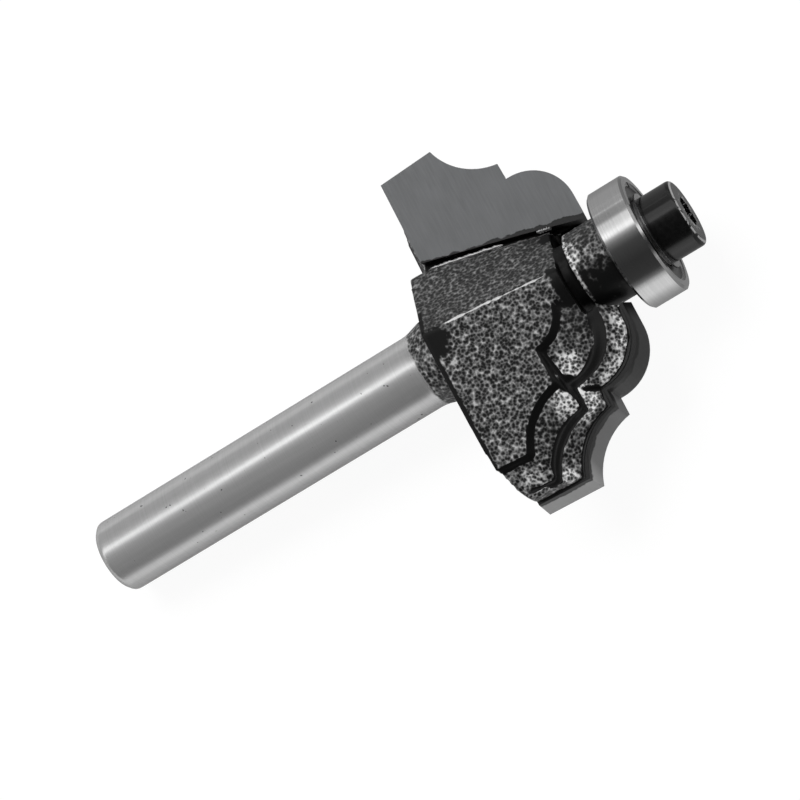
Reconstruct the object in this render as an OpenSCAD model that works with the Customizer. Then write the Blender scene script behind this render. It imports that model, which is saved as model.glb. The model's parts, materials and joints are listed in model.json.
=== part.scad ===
/* [Shank] */
// Diameter of the shank
shank_d = 8; // [6:0.5:8.5]
// Length of the shank, from its free end to the collar
shank_len = 40; // [30:1:60]
// Chamfer at the free end of the shank
shank_chamfer = 0.5; // [0.2:0.1:1]
// Length of the collar between the shank and the head
collar_len = 2; // [1:0.1:4]
// Small step where the collar begins, on radius
collar_step = 0.1; // [0.05:0.05:0.3]
// How much the collar grows in radius towards the head
collar_flare = 0.5; // [0.2:0.1:0.8]

/* [Cutting profile] */
// Largest cutting diameter, over the two tips
cut_d = 39; // [37:0.5:44]
// Distance from the rear face of the head to the rear edge of the tips
tip_setback = 1.8; // [1:0.1:3]
// Length of the straight land at the largest diameter
land_len = 6.2; // [5:0.2:8]
// How much the land draws in towards the shank, on radius
land_draw = 0.25; // [0:0.05:0.5]
// Radius of the hollow cove
cove_r = 7; // [6:0.5:9]
// Height of the cove along the axis
cove_rise = 5.6; // [5:0.1:6.5]
// Width of the cove, on radius
cove_width = 4.9; // [4.4:0.1:5.5]
// Width of the small step between the cove and the round, on radius
step_width = 1.85; // [1.4:0.05:2.2]
// Straight neck between the step and the round
step_neck = 0.3; // [0.1:0.1:1]
// Radius of the convex round at the end of the profile
round_r = 5.1; // [4.5:0.1:5.5]

/* [Carbide tips] */
// Thickness of each carbide tip
tip_t = 2.2; // [1.6:0.1:2.6]
// Clearance ground behind the cutting edge, on radius
clear_radial = 0.9; // [0.4:0.1:1.1]
// Clearance ground behind the cutting edge, along the axis
clear_axial = 0.4; // [0.2:0.1:0.6]
// Gap between the tip's inner edge and the wall of its pocket, at the rear
pocket_gap_rear = 0.9; // [0.6:0.1:1.2]
// Gap between the tip's inner edge and the wall of its pocket, at the knee
pocket_gap_knee = 0.7; // [0.5:0.1:1]
// Distance from the step of the profile back to the knee in the tip's inner edge
knee_setback = 1.2; // [0.5:0.1:3]
// Distance from the axis to the tip's inner edge, at its front end
tip_root_front = 4.9; // [4.8:0.1:6]
// Thickness of the braze under each tip
braze_t = 0.1; // [0.05:0.05:0.2]
// How far the braze beside the tip stays below the cutting face, at the pocket's wall
fillet_top = 0.15; // [0.1:0.05:0.4]
// How far the braze beside the tip stays below the cutting face, at the tip
fillet_low = 1.2; // [0.8:0.1:1.4]

/* [Head] */
// Radius on the rear face where its rounded corner begins
crown_start = 13; // [11:0.5:13.5]
// Radius of the rounded corner of the rear face
crown_r = 8.5; // [7.5:0.5:12]
// Distance from the axis to the gullet's inner corner, at the rear face
gullet_root = 9.45; // [9:0.05:9.8]
// Angle at which the gullet's inner corner leans to the axis
gullet_lean = 14.6; // [12:0.2:15]
// Angle between the cutting face and the gullet's floor, at the rear face
gullet_angle_rear = 142.5; // [137:0.5:144]
// Angle between the cutting face and the gullet's floor, at the core's end
gullet_angle_front = 137; // [133:0.5:140]
// Distance below the cutting face at which the rear face begins to slope up behind a tip
rear_slope_foot = 5.2; // [4:0.1:5.5]
// Ledge of the head behind a tip's rear edge
tip_ledge = 0.1; // [0.05:0.05:0.5]
// Distance from the axis to the flat back of a wing, at the rear face
back_h = 6; // [5.7:0.1:6.4]
// Slope of the flat back towards the wing's outer edge
back_slope = 4; // [2:0.5:5]
// Slope of the flat back towards the bearing
back_taper = 4.5; // [3:0.5:5]

/* [Relieved back of a wing] */
// Depth of the backing pad's edge below the flat back
pad_below = 0.6; // [0.5:0.05:0.8]
// Depth of the valley between the pad and the heel, below the flat back
valley_below = 1.1; // [0.9:0.05:1.3]
// Depth of the heel's inner edge below the flat back
heel_below = 0.4; // [0.3:0.05:0.6]
// Each level below is drawn in from the cutting profile: on radius, along the axis,
// then what it draws in more at the round, on radius, and at the end, along the axis
// Foot of the pad, behind the tip
foot_level = [1.2, 0.75, 0.1, 0]; // [0:0.05:6]
// Edge of the pad
pad_level = [1.5, 2.6, 0.8, -0.2]; // [-1:0.05:6]
// Valley
valley_level = [2.2, 3.3, 0.9, 0.6]; // [0:0.05:6]
// Inner edge of the heel
heel_level = [5.1, 3.9, 2, 1.5]; // [0:0.05:6]
// Edge of the flat back
back_level = [5.5, 4.2, 2.1, 1.6]; // [0:0.05:6]

/* [Pilot] */
// Radius of the core between the wings, near the bearing
core_r = 5; // [4.7:0.1:5.3]
// Diameter of the seat that the bearing stands on
seat_d = 8.8; // [8.4:0.1:9.2]
// Length of the seat, with its shoulder
seat_len = 4.3; // [3.5:0.1:5]
// Width of the groove between the seat and the core
groove_len = 1.2; // [0.8:0.1:1.6]
// Radius at the bottom of the groove
groove_r = 3.8; // [3.5:0.1:4.1]
// Height of the shoulder that meets the bearing's inner ring
shoulder_h = 0.3; // [0.2:0.1:0.5]
// Radius turned free of the wings round the seat
free_r = 5.5; // [5.2:0.1:6]
// Gap between the end of the profile and the bearing
pilot_gap = 1.45; // [1:0.05:2]

/* [Bearing] */
// Outer diameter of the bearing
bearing_od = 13; // [12.5:0.5:16]
// Bore of the bearing
bearing_bore = 5; // [4.8:0.1:5.2]
// Width of the bearing
bearing_w = 4; // [3.8:0.1:5]
// Diameter of each ball
ball_d = 2; // [1.8:0.1:2]
// Diameter of the circle on which the balls run
pitch_d = 9; // [8.9:0.05:9.1]
// Play between a ball and its races
race_play = 0.01; // [0.01:0.01:0.03]
// Depth of the races in the rings
race_depth = 0.2; // [0.15:0.05:0.3]
// Thickness of each shield
shield_t = 0.2; // [0.15:0.05:0.25]
// Depth of each shield below the bearing's face
shield_below = 0.35; // [0.3:0.05:0.4]
// Width of the ledge that each shield lies on
shield_ledge = 0.3; // [0.2:0.05:0.4]
// Running gap between a shield and the inner ring
shield_gap = 0.1; // [0.05:0.05:0.2]
// Thickness of the split ring that holds a shield
snap_t = 0.15; // [0.1:0.01:0.18]
// Depth of the groove that the split ring springs into
snap_groove = 0.12; // [0.1:0.01:0.15]
// Gap between the cage and the rings
cage_gap = 0.25; // [0.15:0.05:0.3]
// Play of a ball in its pocket of the cage
pocket_play = 0.04; // [0.02:0.01:0.08]
// Thickness of the cage's closed side, behind the balls
cage_back = 0.25; // [0.2:0.05:0.3]
// Reach of the cage's fingers past the balls' centres
cage_reach = 0.55; // [0.4:0.05:0.7]
// Chamfer on the edges of the rings
ring_chamfer = 0.25; // [0.1:0.05:0.35]

/* [Screw] */
// Diameter of the screw's threaded end
thread_d = 4; // [3:0.5:4]
// Length of the screw's threaded end
thread_len = 9; // [6:0.5:12]
// Depth of the hole past the end of the screw
hole_spare = 1; // [0.5:0.5:3]
// Diameter of the screw's head
screw_head_d = 7.3; // [6.6:0.1:7.6]
// Height of the screw's head
screw_head_h = 3.6; // [3:0.1:4.4]
// Rounding of the head's edge
screw_round = 0.5; // [0.2:0.1:0.8]
// Size of the hexagon socket, across its flats
hex_size = 3; // [2.5:0.5:4]
// Depth of the hexagon socket
hex_depth = 2; // [1.5:0.1:2.4]
// Diameter of the washer
washer_d = 8.4; // [8:0.1:8.6]
// Thickness of the washer
washer_t = 0.2; // [0.2:0.05:0.4]
// Clearance of the screw in its hole and in the bearing, on radius
screw_play = 0.02; // [0.01:0.01:0.05]

/* [Hidden] */
$fn = 96;
ball_count = 7;
cut_reach = 40;
floor_rows = 6;
spare = 1.25;

// Stations along the bit's own axis, from the free end of the shank.
rear_z = shank_len + collar_len;
tip_rear_z = rear_z + tip_setback;
point_z = tip_rear_z + land_len;
step_z = point_z + cove_rise;
knee_z = step_z - knee_setback;
profile_end_z = step_z + step_neck + round_r;
bearing_z = profile_end_z + pilot_gap;
seat_z = bearing_z - seat_len;
core_end_z = seat_z - groove_len;
bearing_mid_z = bearing_z + bearing_w / 2;
washer_z = bearing_z + bearing_w;
screw_seat_z = washer_z + washer_t;
screw_end_z = screw_seat_z + screw_head_h;

// Radii of the profile, the shank, the screw and the bearing.
cut_r = cut_d / 2;
corner_r = cut_r - cove_width;
neck_r = corner_r - step_width;
shank_r = shank_d / 2;
shank_end_r = shank_r - shank_chamfer;
bore_r = bearing_bore / 2;
screw_face_r = screw_head_d / 2 - screw_round;
pitch_r = pitch_d / 2;
ball_r = ball_d / 2;
inner_ring_r = pitch_r - ball_r + race_depth;
outer_ring_r = pitch_r + ball_r - race_depth;
shield_r = outer_ring_r + shield_ledge;

// The face that carries a tip.
tip_seat_y = -tip_t - braze_t;

// Points of an arc from a to b that bulges to the left of the line a-b.
function arc(a, b, r, n) =
    let (d = b - a, half = norm(d) / 2, right = [d[1], -d[0]] / norm(d),
         c = (a + b) / 2 + sqrt(r * r - half * half) * right,
         from = atan2(a[1] - c[1], a[0] - c[0]), to = atan2(b[1] - c[1], b[0] - c[0]),
         turn = to - from > 180 ? to - from - 360 : (to - from < -180 ? to - from + 360 : to - from))
    [for (i = [0:n]) c + r * [cos(from + turn * i / n), sin(from + turn * i / n)]];

// Quarter of an ellipse about c, from its outermost point to its highest.
function quarter(c, rx, rz, n) = [for (i = [0:n]) c + [rx * cos(90 * i / n), rz * sin(90 * i / n)]];

// The profile of a wing as [radius, height], drawn in by a level, from its rear end to its front.
function profile(level, from_z) =
    let (point = [cut_r - level[0], point_z - level[1]],
         corner = [corner_r - level[0], step_z - level[1]],
         neck = [neck_r - level[0] - level[2], step_z - level[1]],
         top_z = profile_end_z - level[1] - level[3])
    concat([[point[0] - land_draw, from_z]],
           arc(point, corner, cove_r, 14), [neck],
           quarter(neck + [-round_r, step_neck], round_r, top_z - neck[1] - step_neck, 16));

// One closed outline over both wings, from the axis round one wing and back round the other.
function reversed(list) = [for (i = [len(list) - 1:-1:0]) list[i]];
function outline(level) =
    let (p = profile(level, rear_z - spare))
    concat([[0, rear_z - spare]], p, [for (q = reversed(p)) [-q[0], q[1]]]);

// Points at a depth below the flat back, and on the face that carries the tip.
function back_y(p) = -back_h + tan(back_slope) * p[0] + tan(back_taper) * (p[1] - rear_z);
function below_back(points, depth) = [for (p = points) [p[0], back_y(p) + depth, p[1]]];
function at_y(points, y) = [for (p = points) [p[0], y, p[1]]];
function half_turn(points) =
    let (n = len(points)) [for (i = [0:n - 1]) let (p = points[(n - i) % n]) [-p[0], -p[1], p[2]]];

// Distance from the axis to the gullet's inner corner, and to the tip's inner edge.
function root_x(z) = gullet_root - tan(gullet_lean) * (z - rear_z);
tip_root_rear = root_x(tip_rear_z) + pocket_gap_rear;
tip_root_knee = root_x(knee_z) + pocket_gap_knee;
function tip_root_x(z) = z < knee_z
    ? tip_root_rear + (tip_root_knee - tip_root_rear) * (z - tip_rear_z) / (knee_z - tip_rear_z)
    : tip_root_knee + (tip_root_front - tip_root_knee) * (z - knee_z) / (profile_end_z - knee_z);

// Solid through closed rows of points that follow each other. Each end is seen whole from its
// row's first point.
module skin(rows) {
    n = len(rows[0]);
    last = (len(rows) - 1) * n;
    polyhedron(points = [for (row = rows) for (p = row) p], convexity = 10,
        faces = concat([[for (i = [0:n - 1]) i]], [[for (i = [n:-1:1]) last + i % n]],
            [for (k = [0:n:last - 1]) for (i = [0:n - 1]) let (j = (i + 1) % n) [k + i, k + n + i, k + j]],
            [for (k = [0:n:last - 1]) for (i = [0:n - 1]) let (j = (i + 1) % n)
                [k + j, k + n + i, k + n + j]]));
}

// The bit lies on the rear edge of one wing's back and on the rim of its shank.
rest_h = back_h * cos(back_slope);
pitch = atan((rest_h - shank_r) / (rear_z - shank_chamfer));
lift = shank_r * cos(pitch) - shank_chamfer * sin(pitch);
x_min = -shank_end_r * sin(pitch);
x_max = (screw_end_z - screw_round) * cos(pitch) + screw_face_r * sin(pitch) + screw_round;

module lying() {
    translate([-(x_min + x_max) / 2, 0, lift]) rotate([0, 90 - pitch, 0])
        rotate([0, 0, 90 - back_slope]) children();
}

module rod(r, z, h) { translate([0, 0, z]) cylinder(r = r, h = h); }

module tube(inner_r, outer_r, z, h) {
    difference() {
        rod(outer_r, z, h);
        rod(inner_r, z - h, 3 * h);
    }
}

// Both wings as one loft, from one wing's flat back, down its heel, valley and pad to the seat
// of its tip, and up the other wing in the same way.
module wings() {
    rows = [below_back(outline(back_level), 0),
            below_back(outline(heel_level), heel_below),
            below_back(outline(valley_level), valley_below),
            below_back(outline(pad_level), pad_below),
            at_y(outline(foot_level), tip_seat_y)];
    skin(concat([for (row = rows) half_turn(row)], reversed(rows)));
}

// Space in front of a cutting face, with the pocket that its tip lies in. Its floor twists a
// little, from the rear face to the core's end.
module gullet() {
    function turn(z) = gullet_angle_rear
        + (gullet_angle_front - gullet_angle_rear) * (z - rear_z) / (core_end_z - rear_z);
    from_z = rear_z - spare;
    skin([for (i = [0:floor_rows]) let (z = from_z + (bearing_z - from_z) * i / floor_rows)
        [[root_x(z), 0, z], [root_x(z), tip_seat_y, z], [cut_reach, tip_seat_y, z],
         [cut_reach, cut_reach, z],
         [root_x(z) + cut_reach * cos(turn(z)), cut_reach * sin(turn(z)), z]]]);
}

// Slope of the rear face behind a tip.
module rear_slope() {
    ledge_z = tip_rear_z - tip_ledge;
    translate([root_x(tip_rear_z), 0, 0]) rotate([90, 0, 90]) linear_extrude(height = cut_reach)
        polygon([[spare, rear_z - spare], [spare, ledge_z], [tip_seat_y, ledge_z],
                 [-rear_slope_foot, rear_z], [-rear_slope_foot, rear_z - spare]]);
}

// Round limits of the head: the rounded corner of its rear face and its largest radius.
module head_blank() {
    rotate_extrude() translate([0, rear_z]) intersection() {
        square([cut_r, profile_end_z - rear_z]);
        union() {
            square([crown_start, cut_reach]);
            translate([crown_start, crown_r]) circle(r = crown_r);
            translate([0, crown_r]) square([cut_reach, cut_reach]);
        }
    }
}

module head() {
    difference() {
        union() {
            intersection() {
                head_blank();
                wings();
            }
            rod(core_r, rear_z, core_end_z - rear_z);
        }
        for (turn = [0, 180]) rotate([0, 0, turn]) {
            gullet();
            rear_slope();
        }
        rod(free_r, core_end_z, bearing_z - core_end_z);
    }
}

module bit_body() {
    color([0.13, 0.13, 0.14]) lying() difference() {
        union() {
            cylinder(r1 = shank_end_r, r2 = shank_r, h = shank_chamfer);
            rod(shank_r, shank_chamfer, rear_z);
            translate([0, 0, shank_len]) cylinder(r1 = shank_r + collar_step,
                r2 = shank_r + collar_step + collar_flare, h = collar_len);
            head();
            rod(groove_r, rear_z, seat_z - rear_z + shoulder_h);
            rod(seat_d / 2, seat_z, seat_len - shoulder_h);
            rod(inner_ring_r - ring_chamfer / 2, seat_z, seat_len);
        }
        rod(thread_d / 2 + screw_play, bearing_z - thread_len - hole_spare, cut_reach);
    }
}

module carbide_tip(turn) {
    function edge(level) = concat([[tip_root_knee, knee_z], [tip_root_rear, tip_rear_z]],
        profile(level, tip_rear_z),
        [[tip_root_x(profile_end_z - level[1]), profile_end_z - level[1]]]);
    color([0.45, 0.46, 0.47]) lying() rotate([0, 0, turn])
        skin([at_y(edge([0, 0, 0, 0]), 0),
              at_y(edge([clear_radial, clear_axial, 0, 0]), -tip_t)]);
}

// Braze: a thin bed under the tip, and a fillet between its inner edge and the pocket's wall.
module braze(turn) {
    bed = concat(profile(foot_level, tip_rear_z),
        [[free_r, profile_end_z - foot_level[1]], [root_x(core_end_z), core_end_z],
         [root_x(tip_rear_z), tip_rear_z]]);
    function fillet(z) = [[root_x(z), -fillet_top, z], [root_x(z), -tip_t - braze_t / 2, z],
                          [tip_root_x(z), -tip_t - braze_t / 2, z], [tip_root_x(z), -fillet_low, z]];
    color([0.72, 0.7, 0.62]) lying() rotate([0, 0, turn]) {
        translate([0, -tip_t, 0]) rotate([90, 0, 0]) linear_extrude(height = braze_t) polygon(bed);
        skin([fillet(tip_rear_z), fillet(knee_z), fillet(core_end_z)]);
    }
}

module pilot_screw() {
    color([0.1, 0.1, 0.11]) lying() difference() {
        union() {
            rod(thread_d / 2, bearing_z - thread_len, thread_len + bearing_w);
            rod(bore_r - screw_play, bearing_z, bearing_w + washer_t + shoulder_h);
            rod(screw_head_d / 2, screw_seat_z, screw_head_h - screw_round);
            rod(screw_face_r, screw_seat_z, screw_head_h);
            rotate_extrude() translate([screw_face_r, screw_end_z - screw_round]) circle(r = screw_round);
        }
        translate([0, 0, screw_end_z - hex_depth])
            cylinder(r = hex_size / sqrt(3), h = screw_head_h, $fn = 6);
    }
}

module screw_washer() {
    color([0.75, 0.75, 0.75]) lying() tube(bore_r + screw_play, washer_d / 2, washer_z, washer_t);
}

// Half section of a ring between two radii, with its corners cut by c_in and c_out.
module ring_section(inner_r, outer_r, c_in, c_out) {
    w = bearing_w / 2;
    polygon([[inner_r + c_in, -w], [outer_r - c_out, -w], [outer_r, c_out - w], [outer_r, w - c_out],
             [outer_r - c_out, w], [inner_r + c_in, w], [inner_r, w - c_in], [inner_r, c_in - w]]);
}

module race_cut() { translate([pitch_r, 0]) circle(r = ball_r + race_play); }

module bearing_inner_ring() {
    color([0.7, 0.7, 0.72]) lying() translate([0, 0, bearing_mid_z]) rotate_extrude() difference() {
        ring_section(bore_r, inner_ring_r, ring_chamfer, ring_chamfer / 2);
        race_cut();
    }
}

module bearing_outer_ring() {
    ledge_z = bearing_w / 2 - shield_below - shield_t;
    color([0.7, 0.7, 0.72]) lying() translate([0, 0, bearing_mid_z]) rotate_extrude() difference() {
        ring_section(outer_ring_r, bearing_od / 2, 0, ring_chamfer);
        race_cut();
        for (m = [0, 1]) mirror([0, m]) {
            translate([0, ledge_z]) square([shield_r, bearing_w]);
            translate([0, ledge_z + shield_t]) square([shield_r + snap_groove, snap_t]);
        }
    }
}

// Shields and split rings; side is -1 at the rear and 1 at the front.
module bearing_shield(side) {
    z = side * (bearing_w / 2 - shield_below - shield_t / 2);
    color([0.35, 0.35, 0.37]) lying() translate([0, 0, bearing_mid_z])
        tube(inner_ring_r + shield_gap, shield_r, z - shield_t / 2, shield_t);
}

module shield_ring(side) {
    z = side * (bearing_w / 2 - shield_below + snap_t / 2);
    color([0.6, 0.6, 0.62]) lying() translate([0, 0, bearing_mid_z]) difference() {
        tube(outer_ring_r, shield_r + snap_groove, z - snap_t / 2, snap_t);
        translate([0, -snap_t * 2, z - snap_t]) cube([bearing_od, snap_t * 4, snap_t * 2]);
    }
}

module ball_cage() {
    color([0.6, 0.5, 0.3]) lying() translate([0, 0, bearing_mid_z]) difference() {
        tube(inner_ring_r + cage_gap, outer_ring_r - cage_gap,
             -ball_r - cage_back, ball_r + cage_back + cage_reach);
        for (i = [0:ball_count - 1]) rotate([0, 0, i * 360 / ball_count])
            translate([pitch_r, 0, 0]) sphere(r = ball_r + pocket_play);
    }
}

module ball(i) {
    color([0.8, 0.8, 0.82]) lying() translate([0, 0, bearing_mid_z])
        rotate([0, 0, (i - 1) * 360 / ball_count]) translate([pitch_r, 0, 0]) sphere(r = ball_r);
}

bit_body();
carbide_tip(0);  // carbide_tip_a
carbide_tip(180);  // carbide_tip_b
braze(0);  // braze_a
braze(180);  // braze_b
pilot_screw();
screw_washer();
bearing_outer_ring();
bearing_inner_ring();
bearing_shield(-1);  // bearing_shield_rear
bearing_shield(1);  // bearing_shield_front
shield_ring(-1);  // shield_ring_rear
shield_ring(1);  // shield_ring_front
ball_cage();
ball(1);  // ball_1
ball(2);  // ball_2
ball(3);  // ball_3
ball(4);  // ball_4
ball(5);  // ball_5
ball(6);  // ball_6
ball(7);  // ball_7
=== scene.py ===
"""Router bit: finishes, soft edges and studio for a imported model, an add-on that is run as a script."""
import json
from math import cos, radians, sin, tan

import bmesh
import bpy
import numpy as np
from bpy.props import FloatProperty, FloatVectorProperty, IntProperty, PointerProperty
from mathutils import Matrix, Vector


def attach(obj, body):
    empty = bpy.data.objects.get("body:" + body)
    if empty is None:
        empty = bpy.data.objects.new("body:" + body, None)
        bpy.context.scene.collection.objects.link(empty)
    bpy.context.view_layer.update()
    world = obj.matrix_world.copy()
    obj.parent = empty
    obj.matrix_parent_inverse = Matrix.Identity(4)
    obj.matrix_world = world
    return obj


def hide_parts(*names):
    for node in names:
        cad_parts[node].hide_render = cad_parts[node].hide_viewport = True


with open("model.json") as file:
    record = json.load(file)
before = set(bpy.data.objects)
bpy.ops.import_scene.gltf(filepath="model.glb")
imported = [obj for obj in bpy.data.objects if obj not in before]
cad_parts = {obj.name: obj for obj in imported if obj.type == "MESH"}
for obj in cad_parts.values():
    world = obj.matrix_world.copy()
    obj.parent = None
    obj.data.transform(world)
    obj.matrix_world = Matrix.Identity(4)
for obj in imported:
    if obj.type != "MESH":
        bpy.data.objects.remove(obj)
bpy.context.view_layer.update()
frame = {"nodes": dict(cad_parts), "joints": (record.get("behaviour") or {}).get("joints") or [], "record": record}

bl_info = {
    "name": "Router bit",
    "version": (1, 0, 0),
    "blender": (4, 5, 0),
    "location": "3D View > Sidebar > Router bit",
    "description": "Finishes, soft edges and studio of a router bit with a bearing pilot",
    "category": "Object",
}

MM = 0.001


def mount(name):
    """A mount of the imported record, by its name."""
    return next(m for m in frame["record"]["mounts"] if m["name"] == name)


def joint(name):
    """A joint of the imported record, by its name."""
    return next(j for j in frame["joints"] if j["name"] == name)


SHANK_LEN = 40.0
AXIS = Vector(joint("rim_spin")["axis"]).normalized()
RIM_CENTRE = Vector(joint("rim_spin")["pos_m"])
# The shank's mount stands at half the shank's length.
SHANK_END = Vector(mount("shank")["pos_m"]) - AXIS * SHANK_LEN / 2 * MM


def station(point):
    """How far a point stands along the bit's axis from the free end of the shank, in mm."""
    return round((Vector(point) - SHANK_END).dot(AXIS) / MM, 3)


# Stations along the bit's axis, in mm from the free end of the shank.
SCREW_END_Z = station(mount("hex_socket")["pos_m"])
BEARING_REAR_Z = station(RIM_CENTRE) - 2.0
PROFILE_END_Z = BEARING_REAR_Z - 1.45
SEAT_Z = BEARING_REAR_Z - 4.3
CORE_END_Z = SEAT_Z - 1.2
STEP_Z = PROFILE_END_Z - 5.4
REAR_Z = SHANK_LEN + 2.0
TIP_REAR_Z = REAR_Z + 1.8

# Radii of the head's round parts and of the screw, in mm.
CORE_R = 5.0
SEAT_R = 4.4
SCREW_R = 3.65

# The flat back of a wing: its height over the axis at the rear, its slope outwards and its fall to the front.
BACK_H = 6.0
BACK_SLOPE = tan(radians(4.0))
BACK_TAPER = tan(radians(4.5))

# The ridge between a gullet's floor and the next wing's back: its x in mm at a station, and how it leans.
RIDGE_Z = 48.0
RIDGE_X = 1.22
RIDGE_LEAN = 0.082

# A tip's inner edge: its distance from the axis at the tip's rear end, and how it leans.
ROOT_X = 9.88
ROOT_LEAN = 0.29

# Places on a wing's back in mm in the bit's own frame: x, y, z, reach and strength.
GLEAMS = [
    # The bright patch behind the cove.
    (-11.4, 3.4, 52.2, 2.8, 2.2),
    (-8.1, 3.7, 53.4, 1.9, 1.3),
    # Behind the round part of the profile.
    (-6.6, 2.9, 59.9, 1.8, 1.0),
    (-8.6, 2.8, 59.2, 1.8, 1.0),
    (-10.4, 2.8, 57.6, 1.8, 1.0),
    (-11.2, 2.8, 55.9, 1.4, 1.1),
    # Behind the straight part of the profile.
    (-16.0, 3.9, 45.0, 2.6, 0.55),
    (-17.6, 3.2, 48.2, 1.3, 1.2),
    # On the bearing's seat.
    (2.0, 3.8, 58.9, 1.8, 0.5),
    (0.6, 4.3, 58.8, 1.2, 0.9),
]
POOLS = [
    # The rear end of the flat back, and between the two gleams behind the cove.
    (0.1, 5.8, 42.8, 2.8, 1.2),
    (-9.6, 3.5, 52.3, 1.4, 1.5),
]
SHADES = [
    # The front end of the flat back, the valley further back, and the front end of the gullet's floor.
    (-4.6, 4.3, 56.6, 4.0, 1.4),
    (-13.0, 3.4, 49.0, 3.0, 0.9),
    (7.0, 1.0, 55.5, 3.0, 1.4),
]

# Runs of braze drops along a tip's inner edge: name, first and last station, and the distance from the axis
# where the run begins, in mm.
BRAZE_RUNS = [("long", 44.4, 52.2, 8.92), ("short", 55.8, 57.4, 6.36)]
BRAZE_LEAN = 0.235
BRAZE_STEPS = 40

# Outline of the shank, in mm as (height, radius): its rounded end, and the collar up into the head.
SHANK_CORNER = [(0.0, 0.0), (0.0, 3.3), (0.03, 3.42), (0.12, 3.55),
                (0.4, 3.84), (0.52, 3.93), (0.7, 3.985), (0.9, 4.0)]
SHANK_COLLAR = [(38.7, 4.0), (39.2, 4.03), (39.7, 4.12), (40.2, 4.27),
                (40.8, 4.45), (41.4, 4.58), (42.2, 4.7), (42.2, 0.0)]

# The camera, fitted to the photograph: its place in metres, its turn in degrees and its lens in mm.
CAMERA_PLACE = (0.0657976, -0.0576576, 0.2842197)
CAMERA_TURN = (3.51972, 16.90288, -28.76254)
CAMERA_LENS = 129.94


def bit_matrix():
    """The bit's own frame: z along its axis from the free end of the shank, x towards the first ball."""
    x = Vector(joint("ball_1_spin")["pos_m"]) - RIM_CENTRE
    x = (x - AXIS * x.dot(AXIS)).normalized()
    y = AXIS.cross(x)
    return Matrix.Translation(SHANK_END) @ Matrix((x, y, AXIS)).transposed().to_4x4()


BIT = bit_matrix()


# Node helpers

class Nodes:
    """A short way to lay out a node tree."""

    def __init__(self, tree):
        self.tree = tree
        tree.nodes.clear()

    def new(self, kind, inputs=None, **settings):
        node = self.tree.nodes.new(kind)
        for name, value in settings.items():
            setattr(node, name, value)
        for name, value in (inputs or {}).items():
            self.put(node.inputs[name], value)
        return node

    def put(self, socket, value):
        if isinstance(value, bpy.types.NodeSocket):
            self.tree.links.new(value, socket)
        else:
            socket.default_value = value

    def math(self, operation, *values):
        node = self.new("ShaderNodeMath", operation=operation)
        for socket, value in zip(node.inputs, values):
            self.put(socket, value)
        return node.outputs[0]

    def times(self, product, *others):
        for other in others:
            product = self.math("MULTIPLY", product, other)
        return product

    def plus(self, a, b):
        return self.math("ADD", a, b)

    def minus(self, a, b):
        return self.math("SUBTRACT", a, b)

    def size_of(self, value):
        return self.math("ABSOLUTE", value)

    def more_of(self, a, b):
        return self.math("MAXIMUM", a, b)

    def ramp(self, value, stops):
        node = self.new("ShaderNodeValToRGB", {0: value})
        elements = node.color_ramp.elements
        while len(elements) < len(stops):
            elements.new(0.5)
        for element, (position, colour) in zip(elements, stops):
            element.position = position
            if isinstance(colour, (int, float)):
                colour = (colour, colour, colour)
            element.color = (*colour, 1.0)
        return node.outputs[0]

    def mix(self, factor, a, b):
        node = self.new("ShaderNodeMix", {0: factor}, data_type="RGBA")
        for socket, value in zip((node.inputs[6], node.inputs[7]), (a, b)):
            if isinstance(value, (int, float)):
                value = (value, value, value, 1.0)
            self.put(socket, value)
        return node.outputs[2]

    def mix_shaders(self, share, a, b):
        return self.new("ShaderNodeMixShader", {0: share, 1: a.outputs[0], 2: b.outputs[0]})

    def bit_coords(self):
        """Object coordinates in the bit's own frame."""
        coords = self.new("ShaderNodeTexCoord")
        mapping = self.new("ShaderNodeMapping", {"Vector": coords.outputs["Object"]}, vector_type="TEXTURE")
        mapping.inputs["Location"].default_value = BIT.translation
        mapping.inputs["Rotation"].default_value = BIT.to_euler()
        return mapping.outputs[0]

    def noise(self, vector, scale, detail=2.0):
        node = self.new("ShaderNodeTexNoise", {"Vector": vector, "Scale": scale, "Detail": detail})
        return node.outputs["Fac"]

    def parts(self, vector):
        return self.new("ShaderNodeSeparateXYZ", {0: vector}).outputs

    def around(self, vector):
        """Angle about the bit's axis in turns, distance from the axis and height along it."""
        x, y, z = self.parts(vector)
        angle = self.math("DIVIDE", self.math("ARCTAN2", y, x), radians(360))
        radius = self.math("SQRT", self.plus(self.times(x, x), self.times(y, y)))
        return angle, radius, z

    def attribute(self, name):
        return self.new("ShaderNodeAttribute", attribute_name=name).outputs["Fac"]

    def step(self, value, low, high):
        """0 below low, 1 above high."""
        return self.new("ShaderNodeMapRange", {0: value, 1: low, 2: high}, clamp=True).outputs[0]

    def leaning(self, z, start, at, lean):
        """A distance that is start at the station at, and falls by lean for each mm along z."""
        return self.minus(start * MM, self.times(self.minus(z, at * MM), lean))

    def joined(self, x, y, z):
        return self.new("ShaderNodeCombineXYZ", {0: x, 1: y, 2: z}).outputs[0]

    def bump(self, height, strength, distance):
        node = self.new("ShaderNodeBump", {"Height": height, "Strength": strength, "Distance": distance})
        return node.outputs[0]


def material(name, build):
    """A material whose nodes are laid out by build, which returns the values of the surface's sockets."""
    made = bpy.data.materials.new(name)
    made.use_nodes = True
    nodes = Nodes(made.node_tree)
    surface = nodes.new("ShaderNodeBsdfPrincipled", build(nodes))
    nodes.new("ShaderNodeOutputMaterial", {"Surface": surface.outputs[0]})
    return made


def finish(names, made):
    """Puts a material on every slot of the named nodes."""
    for name in names:
        obj = frame["nodes"][name]
        if not obj.material_slots:
            obj.data.materials.append(made)
        for slot in obj.material_slots:
            slot.material = made


# Finishes

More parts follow.
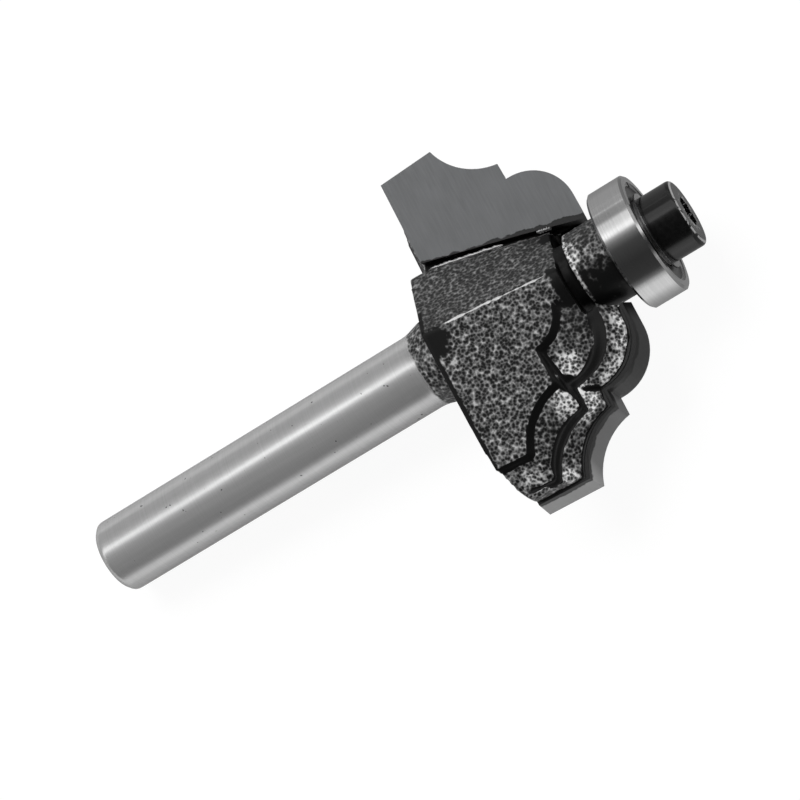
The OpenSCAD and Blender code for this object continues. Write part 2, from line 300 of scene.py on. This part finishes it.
def turned_lines(n, p):
    """Fine lines that run round the bit's axis."""
    angle, radius, z = n.around(p)
    return n.noise(n.joined(n.times(angle, 3.0), n.times(radius, 3000.0), n.times(z, 9000.0)), 1.0, 3.0)


def turned_steel(tone, roughness, grain=0.25):
    """Bright steel with fine turned lines."""
    def build(n):
        lines = turned_lines(n, n.bit_coords())
        return {"Base Color": n.ramp(lines, [(0.3, tone * 0.9), (0.7, tone)]), "Metallic": 1.0,
                "Roughness": n.ramp(lines, [(0.3, roughness * 1.15), (0.7, roughness * 0.85)]),
                "Normal": n.bump(lines, grain, 0.004 * MM)}
    return build


def paint(n, p):
    """Black paint with a fine light speckle: its colour, roughness and height."""
    bent = n.new("ShaderNodeTexNoise", {"Vector": p, "Scale": 2400.0, "Detail": 1.0}).outputs["Color"]
    bent = n.new("ShaderNodeVectorMath", {0: bent, "Scale": 0.28 * MM}, operation="SCALE").outputs[0]
    bent = n.new("ShaderNodeVectorMath", {0: p, 1: bent}, operation="ADD").outputs[0]
    pits = n.new("ShaderNodeTexVoronoi", {"Vector": bent, "Scale": 2900.0}).outputs["Distance"]
    speckle = n.plus(n.times(pits, 0.62), n.times(n.noise(p, 2000.0), 0.42))
    colour = n.ramp(speckle, [(0.32, 0.005), (0.43, 0.018), (0.55, 0.085), (0.68, 0.22), (0.8, 0.48)])
    return colour, n.ramp(speckle, [(0.35, 0.34), (0.7, 0.52)]), speckle


def ridge_wear_and_highlight(n, p, spots):
    """1 along the ridge between a gullet's floor and the next wing's back, in a broken line: worn paint with a
    painted highlight.
    """
    x, y, z = n.parts(p)
    away = n.minus(n.times(x, n.math("SIGN", y)), n.leaning(z, RIDGE_X, RIDGE_Z, RIDGE_LEAN))
    away = n.minus(n.size_of(away), n.times(n.minus(spots, 0.5), 0.5 * MM))
    rear, front = (TIP_REAR_Z + 0.6) * MM, STEP_Z * MM
    return n.times(n.step(away, 0.13 * MM, 0.07 * MM), n.step(n.size_of(y), 4.3 * MM, 4.4 * MM),
                   n.step(z, rear, rear + 0.3 * MM), n.step(z, front, front - 0.2 * MM))


def head_paint(n):
    """The head's paint: smooth and black where it pools and as painted shade, with painted highlights, worn edges
    and painted shade.
    """
    p = n.bit_coords()
    colour, rough, height = paint(n, p)
    spots = n.noise(p, 1300.0)
    ragged = n.times(n.minus(spots, 0.5), 0.8)
    colour = n.mix(n.times(n.attribute("floor"), 0.5), colour, 0.03)
    # Painted highlights at the gleam places and along the seat's rim.
    painted_highlight = n.step(n.plus(n.attribute("gleam"), ragged), 0.25, 0.6)
    colour = n.mix(painted_highlight, colour, n.ramp(height, [(0.3, 0.02), (0.42, 0.1), (0.54, 0.36), (0.66, 0.85)]))
    # Smooth black where paint pools, and as painted shade in the hollows, the valleys, the groove and on the seat.
    pooled_and_shaded = n.step(n.plus(n.attribute("pool_and_shade"), ragged), 0.42, 0.56)
    colour = n.mix(pooled_and_shaded, colour, 0.005)
    colour = n.mix(n.times(n.attribute("shade"), 0.6), colour, 0.01)
    # Worn paint on the convex edges, and a painted highlight along the ridge.
    ridge = ridge_wear_and_highlight(n, p, spots)
    worn_and_highlit = n.more_of(n.step(n.times(n.attribute("edge"), spots), 0.5, 0.6), ridge)
    worn_and_highlit = n.times(worn_and_highlit, n.minus(1.0, pooled_and_shaded))
    colour = n.mix(worn_and_highlit, colour, n.mix(ridge, 0.2, 0.7))
    return {"Base Color": colour, "Metallic": n.times(worn_and_highlit, 0.5),
            "Roughness": n.mix(pooled_and_shaded, rough, 0.35), "Specular IOR Level": 0.2,
            "Normal": n.bump(n.mix(pooled_and_shaded, height, 0.3), 0.6, 0.06 * MM)}


def shank_finish(n):
    """Ground steel, with the head's paint beyond a ragged line on its collar."""
    p = n.bit_coords()
    colour, rough, height = paint(n, p)
    angle, _, z = n.around(p)
    ragged = n.plus(z, n.times(n.minus(n.noise(p, 1100.0), 0.5), 0.5 * MM))
    painted = n.step(ragged, (SHANK_LEN - 0.5) * MM, (SHANK_LEN - 0.3) * MM)
    streaks = n.noise(n.joined(n.times(angle, 40.0), n.times(z, 60.0), 0.0), 1.0, 4.0)
    pits = n.step(n.noise(p, 2100.0, 1.0), 0.755, 0.78)
    lines = turned_lines(n, p)
    steel = n.mix(pits, n.ramp(n.mix(0.5, streaks, lines), [(0.35, 0.58), (0.65, 0.68)]), 0.1)
    return {"Base Color": n.mix(painted, steel, colour), "Metallic": n.mix(painted, 0.6, 0.0),
            "Roughness": n.mix(painted, n.ramp(streaks, [(0.3, 0.27), (0.7, 0.21)]), rough),
            "Normal": n.bump(n.mix(painted, lines, height), 0.2, 0.01 * MM)}


def ground_carbide(tone):
    """Ground carbide: even cutting faces, side faces painted lighter and darker round the profile as light and
    shade, and the head's paint along the pocket.
    """
    def build(n):
        p = n.bit_coords()
        stretched = n.new("ShaderNodeMapping", {"Vector": p, "Scale": (350.0, 350.0, 5000.0)}).outputs[0]
        scratches = n.noise(stretched, 1.0, 3.0)
        cloud = n.noise(p, 300.0, 3.0)
        face = n.ramp(n.mix(0.5, scratches, cloud), [(0.35, [c * 0.9 for c in tone]), (0.65, list(tone))])
        x, y, z = n.parts(p)
        depth = n.size_of(y)
        # The profile's side faces are painted brightest on its straight rear part and darkest round its front:
        # painted light and shade.
        land_shading = n.ramp(n.math("DIVIDE", n.minus(z, 43.0 * MM), 20.0 * MM),
                      [(0.04, 0.4), (0.34, 0.4), (0.38, 0.2), (0.6, 0.2), (0.66, 0.068), (1.0, 0.043)])
        land_shading = n.mix(n.times(cloud, 0.3), land_shading, 0.03)
        off_face = n.step(depth, 0.03 * MM, 0.1 * MM)
        colour = n.mix(off_face, face, land_shading)
        ragged = n.times(n.minus(n.noise(p, 900.0, 3.0), 0.5), 0.9 * MM)
        root = n.minus(n.size_of(x), n.leaning(z, ROOT_X, TIP_REAR_Z, ROOT_LEAN))
        reach = n.times(n.step(z, 46.0 * MM, 60.0 * MM), 0.5 * MM)
        root = n.minus(n.plus(root, ragged), reach)
        painted = n.more_of(n.step(n.plus(depth, ragged), 1.65 * MM, 1.8 * MM),
                            n.minus(1.0, n.step(root, 0.12 * MM, 0.2 * MM)))
        return {"Base Color": n.mix(painted, colour, 0.006),
                "Metallic": n.mix(painted, n.mix(off_face, 0.8, 0.3), 0.0),
                "Roughness": n.mix(painted, n.ramp(scratches, [(0.3, 0.5), (0.7, 0.42)]), 0.4),
                "Normal": n.bump(scratches, 0.1, 0.005 * MM)}
    return build


def painted_braze(n):
    """Silver braze, with paint over all but its ragged upper edge."""
    p = n.bit_coords()
    depth = n.size_of(n.parts(p)[1])
    painted = n.step(n.plus(depth, n.times(n.noise(p, 1200.0), 1.4 * MM)), 0.8 * MM, 0.95 * MM)
    return {"Base Color": n.mix(painted, 0.6, 0.01), "Metallic": n.mix(painted, 0.8, 0.0), "Roughness": 0.4,
            "Normal": n.bump(n.noise(p, 3000.0), 0.3, 0.03 * MM)}


def black_oxide(n):
    """Oiled black steel, with painted highlights on the head's rim and in the socket's corners."""
    p = n.bit_coords()
    marks = n.noise(p, 2500.0, 3.0)
    _, radius, z = n.around(p)
    off_rim = n.size_of(n.minus(radius, (SCREW_R - 0.27) * MM))
    # Painted highlights: a broken bright line round the head's rim, and spots in the socket.
    rim = n.times(n.step(off_rim, 0.14 * MM, 0.08 * MM),
                  n.step(z, (SCREW_END_Z - 0.35) * MM, (SCREW_END_Z - 0.25) * MM), n.step(marks, 0.38, 0.48))
    off_socket = n.size_of(n.minus(radius, 1.75 * MM))
    inside = n.times(n.step(off_socket, 0.5 * MM, 0.3 * MM),
                     n.step(z, (SCREW_END_Z - 1.65) * MM, (SCREW_END_Z - 1.25) * MM),
                     n.step(n.noise(p, 2400.0), 0.56, 0.61))
    painted_highlight = n.more_of(rim, inside)
    return {"Base Color": n.mix(painted_highlight, n.ramp(marks, [(0.3, 0.003), (0.7, 0.007)]), 0.5),
            "Metallic": n.times(painted_highlight, 0.3),
            "Roughness": n.ramp(marks, [(0.3, 0.1), (0.7, 0.15)]), "Specular IOR Level": 0.45}


# Pieces

def cad_copy(node):
    """A merged copy of a CAD node's loose triangles."""
    b = bmesh.new()
    b.from_mesh(frame["nodes"][node].data)
    bmesh.ops.remove_doubles(b, verts=b.verts, dist=0.002 * MM)
    return b


def piece(name, b, made, body, *nodes):
    """A piece from a bmesh, which rides on a body and stands for CAD nodes."""
    mesh = bpy.data.meshes.new(name)
    b.to_mesh(mesh)
    b.free()
    mesh.polygons.foreach_set("use_smooth", [True] * len(mesh.polygons))
    obj = bpy.data.objects.new(name, mesh)
    bpy.context.scene.collection.objects.link(obj)
    mesh.materials.append(made)
    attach(obj, body)
    if nodes:
        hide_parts(*nodes)
    return obj


def turned(profile, steps=96):
    """A turned shape from (height, radius) points in mm, spun about the bit's axis."""
    b = bmesh.new()
    verts = [b.verts.new(BIT @ Vector((r * MM, 0.0, z * MM))) for z, r in profile]
    edges = [b.edges.new(pair) for pair in zip(verts, verts[1:])]
    bmesh.ops.spin(b, geom=verts + edges, cent=BIT.translation, axis=AXIS, angle=radians(360),
                   steps=steps, use_merge=True, use_duplicate=False)
    bmesh.ops.remove_doubles(b, verts=b.verts, dist=0.001 * MM)
    bmesh.ops.recalc_face_normals(b, faces=b.faces)
    return b


def bead(places, sides=10):
    """A round bead through (x, y, z, radius) places in mm in the bit's own frame."""
    b = bmesh.new()
    turn = AXIS.to_track_quat("Z", "Y").to_matrix().to_4x4()
    last = None
    for x, y, z, r in places:
        where = Matrix.Translation(BIT @ Vector((x * MM, y * MM, z * MM))) @ turn
        ring = bmesh.ops.create_circle(b, segments=sides, radius=r * MM, cap_ends=last is None, matrix=where)
        loop = list({e for v in ring["verts"] for e in v.link_edges})
        if last:
            bmesh.ops.bridge_loops(b, edges=last + loop)
        last = loop
    bmesh.ops.holes_fill(b, edges=[e for e in b.edges if e.is_boundary])
    bmesh.ops.recalc_face_normals(b, faces=b.faces)
    return b


def remeshed(obj, size):
    """Puts an even voxel mesh in place of the object's own."""
    step = obj.modifiers.new("even", "REMESH")
    step.mode = "VOXEL"
    step.voxel_size = size
    step.use_smooth_shade = True
    made = obj.data.materials[0]
    mesh = bpy.data.meshes.new_from_object(obj.evaluated_get(bpy.context.evaluated_depsgraph_get()))
    obj.modifiers.clear()
    obj.data = mesh
    mesh.materials.clear()
    mesh.materials.append(made)


class Surface:
    """Points and links of a mesh, to soften it and to tell its edges from its hollows."""

    def __init__(self, mesh):
        self.mesh = mesh
        count = len(mesh.vertices)
        self.points = np.empty(count * 3)
        mesh.vertices.foreach_get("co", self.points)
        self.points = self.points.reshape(-1, 3)
        links = np.empty(len(mesh.edges) * 2, int)
        mesh.edges.foreach_get("vertices", links)
        self.a, self.b = links.reshape(-1, 2).T
        self.share = np.bincount(self.a, minlength=count) + np.bincount(self.b, minlength=count)

    def smoothed(self, values, rounds):
        """Values at the points, each drawn halfway to its neighbours' mean in each round."""
        for _ in range(rounds):
            total = np.stack([np.bincount(self.a, v[self.b], len(v)) + np.bincount(self.b, v[self.a], len(v))
                              for v in values.T], 1)
            values = 0.5 * values + 0.5 * total / self.share[:, None]
        return values

    def smoothed_mask(self, mask, rounds):
        """The same for one number at each point."""
        return self.smoothed(mask[:, None], rounds)[:, 0]

    def move(self, points):
        self.points = points
        self.mesh.vertices.foreach_set("co", points.ravel())
        self.mesh.update()

    def normals(self):
        normals = np.empty(len(self.points) * 3)
        self.mesh.vertex_normals.foreach_get("vector", normals)
        return normals.reshape(-1, 3)

    def rise(self, rounds):
        """How far the surface lies above (+) or below (-) its own smoothed shape, in metres."""
        return ((self.points - self.smoothed(self.points, rounds)) * self.normals()).sum(1)

    def store(self, name, values):
        made = self.mesh.attributes.new(name, "FLOAT", "POINT")
        made.data.foreach_set("value", np.clip(values, 0.0, 1.0).astype(np.float32))


def band(values, low, high):
    """0 at low and below, 1 at high and above."""
    return np.clip((values - low) / (high - low), 0.0, 1.0)


def near(local, places):
    """The strongest of (x, y, z, reach, strength) places in mm, each of which falls to 0 at its reach."""
    return np.max([band(np.linalg.norm(local - place[:3], axis=1), place[3], 0.0) * place[4]
                   for place in places], 0)


def valleys_of(surface, side, wing, facing):
    """Where the head is painted black in the valley between a wing's heel and its pad: painted shade, together
    with pooled paint.
    """
    x, y, z = wing.T
    below = BACK_H + BACK_SLOPE * x - BACK_TAPER * (z - REAR_Z) - y
    back = np.array((-BACK_SLOPE, 1.0, BACK_TAPER)) / np.sqrt(1.0 + BACK_SLOPE ** 2 + BACK_TAPER ** 2)
    upright = (facing * np.stack([side, side, np.ones_like(side)], 1)) @ back
    inward = band(facing[:, 0] * side - facing[:, 2], 0.08, 0.2) * band(upright, 0.4, 0.5) * (z > 46.0)
    foot = band(upright, 0.955, 0.92) * band(upright, 0.5, 0.6) * band(below, 0.5, 0.4)
    valleys = (np.maximum(foot, inward) * band(below, 1.8, 1.5) * band(below, -0.3, 0.0)
               * (z > REAR_Z + 0.3) * (z < PROFILE_END_Z - 0.2)
               * (x < 0.0) * (np.hypot(x, y) > CORE_R + 0.2))
    return np.clip(surface.smoothed_mask(valleys, 4) * 1.5, 0.0, 1.0)


def pools_shade_and_gleams(surface, local, facing, floor, sharp):
    """Where the head's paint lies black and smooth, as pooled paint and painted shade, where it shines and where
    it is in shade.
    """
    side = np.where(local[:, 1] > 0.0, 1.0, -1.0)
    # Both wings are looked at as the second one, with its back up.
    wing = np.stack([local[:, 0] * side, np.abs(local[:, 1]), local[:, 2]], 1)
    x, y, z = wing.T
    radius = np.hypot(x, y)
    on_seat = (z > SEAT_Z) * (radius < CORE_R + 0.2)
    valleys = valleys_of(surface, side, wing, facing)
    hollows = band(-sharp, 0.012 * MM, 0.03 * MM) * (1.0 - floor)
    rear = band(z, REAR_Z + 0.75, REAR_Z + 0.3) * (y > 4.0) * (x < 5.0)
    front = band(z, STEP_Z - 0.4, STEP_Z + 0.6) * (x > -3.2) * (radius > SEAT_R + 0.2) * (z < SEAT_Z - 0.15)
    groove = (z > CORE_END_Z - 0.05) & (z < SEAT_Z) & (radius < CORE_R + 0.4)
    seat = band(x, 2.0, -2.5) * (z > SEAT_Z - 0.05) * (radius < CORE_R + 0.2)
    rims = band(y, 2.55, 2.4) * (x < -5.0) * (y > 1.5)
    # Black in the valleys, hollows, groove, seat and rims: painted shade, together with pooled paint.
    pool_and_shade = np.max([valleys, hollows, rear, front * 0.75, groove, seat * 0.68, rims, near(wing, POOLS)], 0)
    # The seat's rear rim shines, in full above and in dashes further round.
    rim = on_seat * (z < SEAT_Z + 0.4) * (x > -3.6)
    pool_and_shade = pool_and_shade * (1.0 - rim)
    gleam = np.maximum(near(wing, GLEAMS), rim * np.where(x > -0.8, 1.0, 0.45))
    shade = np.maximum(near(wing, SHADES), band(x, 0.5, -1.5) * on_seat * (z > SEAT_Z + 0.45))
    return pool_and_shade, gleam, shade


class BITLOOK_Sizes(bpy.types.PropertyGroup):
    """Sizes and colours that a user would change."""
    head_grid: FloatProperty(
        name="Head grid", description="Grid of the painted head's mesh", default=0.18 * MM, unit="LENGTH")
    head_softness: IntProperty(
        name="Head softness", description="Rounds of smoothing on the painted head's edges", default=5)
    hollow_depth: FloatProperty(
        name="Hollow depth", description="How much deeper the painted head's hollows are worked", default=1.2)
    tip_edge: FloatProperty(
        name="Tip edge", description="Width of the broken edges of the carbide tips",
        default=0.04 * MM, unit="LENGTH")
    floor_angle: FloatProperty(
        name="Gullet floor", description="Angle of the gullet's floor to the cutting face",
        default=radians(140.0), subtype="ANGLE")
    carbide_tone: FloatVectorProperty(
        name="Carbide", description="Colour of the ground carbide", size=3,
        default=(0.205, 0.21, 0.215), subtype="COLOR")
    sky: FloatProperty(
        name="Sky", description="Strength of the even light from all round", default=0.35)
    floor_tone: FloatVectorProperty(
        name="Floor", description="Colour of the floor", size=3, default=(0.9, 0.9, 0.9), subtype="COLOR")


class BITLOOK_OT_head(bpy.types.Operator):
    """Build the painted head with soft edges, from the CAD body"""
    bl_idname = "bitlook.head"
    bl_label = "Painted head"

    def execute(self, context):
        sizes = context.scene.bit_look
        b = cad_copy("bit_body")
        # The shank is cut away a little behind the head's rear face.
        foot = BIT @ Vector((0, 0, (REAR_Z - 0.3) * MM))
        cut = bmesh.ops.bisect_plane(b, geom=b.verts[:] + b.edges[:] + b.faces[:], dist=0.001 * MM,
                                     plane_co=foot, plane_no=AXIS, clear_inner=True)
        bmesh.ops.holes_fill(b, edges=[e for e in cut["geom_cut"] if isinstance(e, bmesh.types.BMEdge)])
        head = piece("painted_head", b, material("head_paint", head_paint), "bit", "bit_body")
        remeshed(head, sizes.head_grid)
        surface = Surface(head.data)
        local = (surface.points - np.array(BIT.translation)) @ np.array(BIT.to_3x3()) / MM
        facing = surface.normals() @ np.array(BIT.to_3x3())
        surface.move(surface.smoothed(surface.points, sizes.head_softness))
        across_floor = np.array((sin(sizes.floor_angle), -cos(sizes.floor_angle), 0.0))
        floor = band(np.abs(facing @ across_floor), 0.88, 0.93)
        floor *= local[:, 0] * np.sign(local[:, 1]) > 0.3
        # The hollows are worked a little deeper, but not on the gullet's floor.
        dip = surface.smoothed_mask(np.minimum(surface.rise(60), 0.0) * (1.0 - floor), 2)
        surface.move(surface.points + surface.normals() * dip[:, None] * sizes.hollow_depth)
        sharp = surface.rise(6)
        pool_and_shade, gleam, shade = pools_shade_and_gleams(surface, local, facing, floor, sharp)
        surface.store("edge", sharp / (0.03 * MM))
        surface.store("floor", floor)
        surface.store("pool_and_shade", pool_and_shade)
        surface.store("gleam", gleam)
        surface.store("shade", shade)
        return {"FINISHED"}


class BITLOOK_OT_shank(bpy.types.Operator):
    """Turn the ground shank with its collar"""
    bl_idname = "bitlook.shank"
    bl_label = "Shank"

    def execute(self, context):
        bar = turned(SHANK_CORNER + SHANK_COLLAR)
        piece("shank_bar", bar, material("shank_finish", shank_finish), "bit", "bit_body")
        return {"FINISHED"}


def braze_drops(start, end, foot, way):
    """Places and radii in mm of a run of braze drops, on the first wing (way 1) or the second (way -1)."""
    places = []
    for k in range(BRAZE_STEPS + 1):
        z = start + (end - start) * k / BRAZE_STEPS
        x = foot - BRAZE_LEAN * (z - start) + 0.02 * sin(k * 0.7)
        y = -0.24 + 0.03 * sin(k * 1.3)
        swell = 0.5 + 0.25 * sin(k * 0.9) + 0.25 * sin(k * 2.3 + 1.0)
        thin_end = min(1.0, 0.3 + 0.15 * k, 0.3 + 0.15 * (BRAZE_STEPS - k))
        places.append((x * way, y * way, z, (0.17 + 0.13 * swell) * thin_end))
    return places


class BITLOOK_OT_tips(bpy.types.Operator):
    """Finish the two carbide tips with fine broken edges, and lay drops of braze along their pockets"""
    bl_idname = "bitlook.tips"
    bl_label = "Carbide tips"

    def execute(self, context):
        sizes = context.scene.bit_look
        made = material("ground_carbide", ground_carbide(sizes.carbide_tone))
        silver = material("braze_drops", turned_steel(0.75, 0.35))
        for side in "ab":
            b = cad_copy("carbide_tip_" + side)
            bmesh.ops.dissolve_limit(b, angle_limit=radians(2), verts=b.verts, edges=b.edges)
            sharp = [e for e in b.edges if len(e.link_faces) == 2 and e.calc_face_angle() > radians(25)]
            bmesh.ops.bevel(b, geom=sharp, offset=sizes.tip_edge, offset_type="OFFSET", segments=2,
                            profile=0.5, affect="EDGES", clamp_overlap=True, material=-1)
            tip = piece("tip_" + side, b, made, "bit", "carbide_tip_" + side)
            tip.modifiers.new("even_shading", "WEIGHTED_NORMAL")
            way = 1.0 if side == "a" else -1.0
            for run, start, end, foot in BRAZE_RUNS:
                piece("braze_%s_%s" % (run, side), bead(braze_drops(start, end, foot, way)), silver, "bit")
        return {"FINISHED"}


class BITLOOK_OT_metal(bpy.types.Operator):
    """Give the bearing, the screw and the braze their finishes"""
    bl_idname = "bitlook.metal"
    bl_label = "Metal finishes"

    def execute(self, context):
        rings = ["bearing_outer_ring", "bearing_inner_ring"]
        shields = ["bearing_shield_rear", "bearing_shield_front"]
        wires = ["shield_ring_rear", "shield_ring_front", "screw_washer"]
        balls = ["ball_%d" % i for i in range(1, 8)]
        finish(["braze_a", "braze_b"], material("braze", painted_braze))
        finish(rings, material("bearing_steel", turned_steel(0.62, 0.16, 0.03)))
        finish(shields, material("shield_steel", turned_steel(0.25, 0.4)))
        finish(wires, material("bright_wire", turned_steel(0.6, 0.25)))
        finish(["ball_cage"], material("cage_steel", turned_steel(0.3, 0.4)))
        finish(balls, material("ball_steel", turned_steel(0.75, 0.08, 0.05)))
        finish(["pilot_screw"], material("black_oxide", black_oxide))
        return {"FINISHED"}


def studio_floor(tone):
    """A white floor that takes the object's shadow, and that polished metal sees as dimmer in places."""
    made = bpy.data.materials.new("floor")
    made.use_nodes = True
    n = Nodes(made.node_tree)
    path = n.new("ShaderNodeLightPath")
    diffuse = n.new("ShaderNodeBsdfDiffuse", {"Color": (*tone, 1.0)})
    glow = n.new("ShaderNodeEmission", {"Color": (1, 1, 1, 1), "Strength": 1.05})
    # Polished metal sees the floor dimmer behind the object than in front of it, and darker under it and
    # past its end.
    x, y, _ = n.parts(n.new("ShaderNodeTexCoord").outputs["Object"])
    dim = n.ramp(n.plus(n.times(y, 8.0), 0.5), [(0.35, 1.0), (0.6, 0.33)])
    under = n.times(n.step(n.size_of(y), 26.0 * MM, 8.0 * MM), 0.6)
    past = n.times(n.step(x, 31.0 * MM, 34.0 * MM), 0.75)
    dim = n.mix(n.more_of(under, past), dim, 0.0)
    seen = n.new("ShaderNodeEmission", {"Color": dim, "Strength": 1.0})
    camera_share = n.times(path.outputs["Is Camera Ray"], 0.88)
    glossy_share = n.times(path.outputs["Is Glossy Ray"], 0.8)
    both = n.mix_shaders(glossy_share, n.mix_shaders(camera_share, diffuse, glow), seen)
    n.new("ShaderNodeOutputMaterial", {"Surface": both.outputs[0]})
    return made


def lay_floor(scene, tone):
    """Lay a flat floor of 6 m under the object."""
    mesh = bpy.data.meshes.new("floor")
    b = bmesh.new()
    bmesh.ops.create_grid(b, x_segments=1, y_segments=1, size=3.0)
    b.to_mesh(mesh)
    b.free()
    mesh.materials.append(studio_floor(tone))
    floor = bpy.data.objects.new("floor", mesh)
    scene.collection.objects.link(floor)


def light_world(scene, sky):
    """A white background, an even soft light, and the walls and the dark ceiling that polished metal sees."""
    world = bpy.data.worlds.new("studio")
    scene.world = world
    world.use_nodes = True
    n = Nodes(world.node_tree)
    path = n.new("ShaderNodeLightPath")
    x, y, z = n.parts(n.new("ShaderNodeTexCoord").outputs["Generated"])
    # What polished metal sees, by the angle in degrees over the object from behind (0) to the front (180).
    over = n.math("DIVIDE", n.math("ARCTAN2", z, y), radians(180))
    walls = [(0, 0.53), (16, 0.5), (18, 1.1), (20, 0.45), (38, 0.45), (43, 1.35), (68, 1.35), (72, 0.45),
             (80, 0.2), (92, 0.06), (125, 0.03), (160, 0.05), (170, 0.2), (176, 0.7)]
    # The shank lies further from the view's middle, and sees a narrower strip.
    strip = [(0, 0.12), (38, 0.12), (50, 0.3), (57, 0.9), (62, 1.9), (68, 1.9), (74, 0.5), (82, 0.2),
             (95, 0.08), (125, 0.05), (160, 0.05), (170, 0.2), (176, 0.7)]
    strength = 2.0
    walls, strip = [n.ramp(over, [(a / 180, v / strength) for a, v in stops]) for stops in (walls, strip)]
    seen = n.new("ShaderNodeBackground", {"Color": n.mix(n.step(x, -0.26, -0.2), strip, walls),
                                          "Strength": strength})
    soft = n.new("ShaderNodeBackground", {"Color": (1, 1, 1, 1), "Strength": sky})
    white = n.new("ShaderNodeBackground", {"Color": (1, 1, 1, 1), "Strength": 1.0})
    both = n.mix_shaders(path.outputs["Is Glossy Ray"], soft, seen)
    both = n.mix_shaders(path.outputs["Is Camera Ray"], both, white)
    n.new("ShaderNodeOutputWorld", {"Surface": both.outputs[0]})


def hang_lamp(scene, name, place, size, energy):
    """A soft rectangular lamp that looks at the object, and that polished metal doesn't see."""
    lamp = bpy.data.lights.new(name, "AREA")
    lamp.shape = "RECTANGLE"
    lamp.size, lamp.size_y = size
    lamp.energy = energy
    box = bpy.data.objects.new(name, lamp)
    box.location = place
    box.rotation_euler = Vector(place).to_track_quat("Z", "Y").to_euler()
    box.visible_glossy = False
    scene.collection.objects.link(box)


def set_camera(scene):
    """Set the camera that sees what the photograph sees."""
    camera = bpy.data.cameras.new("camera")
    camera.lens = CAMERA_LENS
    camera.sensor_width = 36.0
    camera.clip_start = 0.01
    view = bpy.data.objects.new("camera", camera)
    view.location = CAMERA_PLACE
    view.rotation_euler = [radians(a) for a in CAMERA_TURN]
    scene.collection.objects.link(view)
    scene.camera = view


class BITLOOK_OT_stage(bpy.types.Operator):
    """Set up the floor, the world, the lamps and the camera"""
    bl_idname = "bitlook.stage"
    bl_label = "Studio"

    def execute(self, context):
        scene = context.scene
        sizes = scene.bit_look
        lay_floor(scene, sizes.floor_tone)
        light_world(scene, sizes.sky)
        hang_lamp(scene, "key", place=(-0.1, 0.35, 0.5), size=(0.4, 0.3), energy=2.6)
        hang_lamp(scene, "side", place=(0.6, -0.05, 0.15), size=(0.3, 0.2), energy=0.9)
        set_camera(scene)
        scene.view_settings.view_transform = "Standard"
        return {"FINISHED"}


class BITLOOK_PT_panel(bpy.types.Panel):
    """Sidebar panel with the sizes and the steps"""
    bl_idname = "BITLOOK_PT_panel"
    bl_label = "Router bit"
    bl_space_type = "VIEW_3D"
    bl_region_type = "UI"
    bl_category = "Router bit"

    def draw(self, context):
        sizes = context.scene.bit_look
        for name in BITLOOK_Sizes.__annotations__:
            self.layout.prop(sizes, name)
        for step in STEPS:
            self.layout.operator(step.bl_idname)


STEPS = [BITLOOK_OT_head, BITLOOK_OT_shank, BITLOOK_OT_tips, BITLOOK_OT_metal, BITLOOK_OT_stage]
CLASSES = [BITLOOK_Sizes, *STEPS, BITLOOK_PT_panel]


def register():
    for cls in CLASSES:
        bpy.utils.register_class(cls)
    bpy.types.Scene.bit_look = PointerProperty(type=BITLOOK_Sizes)


def unregister():
    del bpy.types.Scene.bit_look
    for cls in reversed(CLASSES):
        bpy.utils.unregister_class(cls)


def main():
    register()
    bpy.ops.bitlook.head()
    bpy.ops.bitlook.shank()
    bpy.ops.bitlook.tips()
    bpy.ops.bitlook.metal()
    bpy.ops.bitlook.stage()


if __name__ == "__main__":
    main()
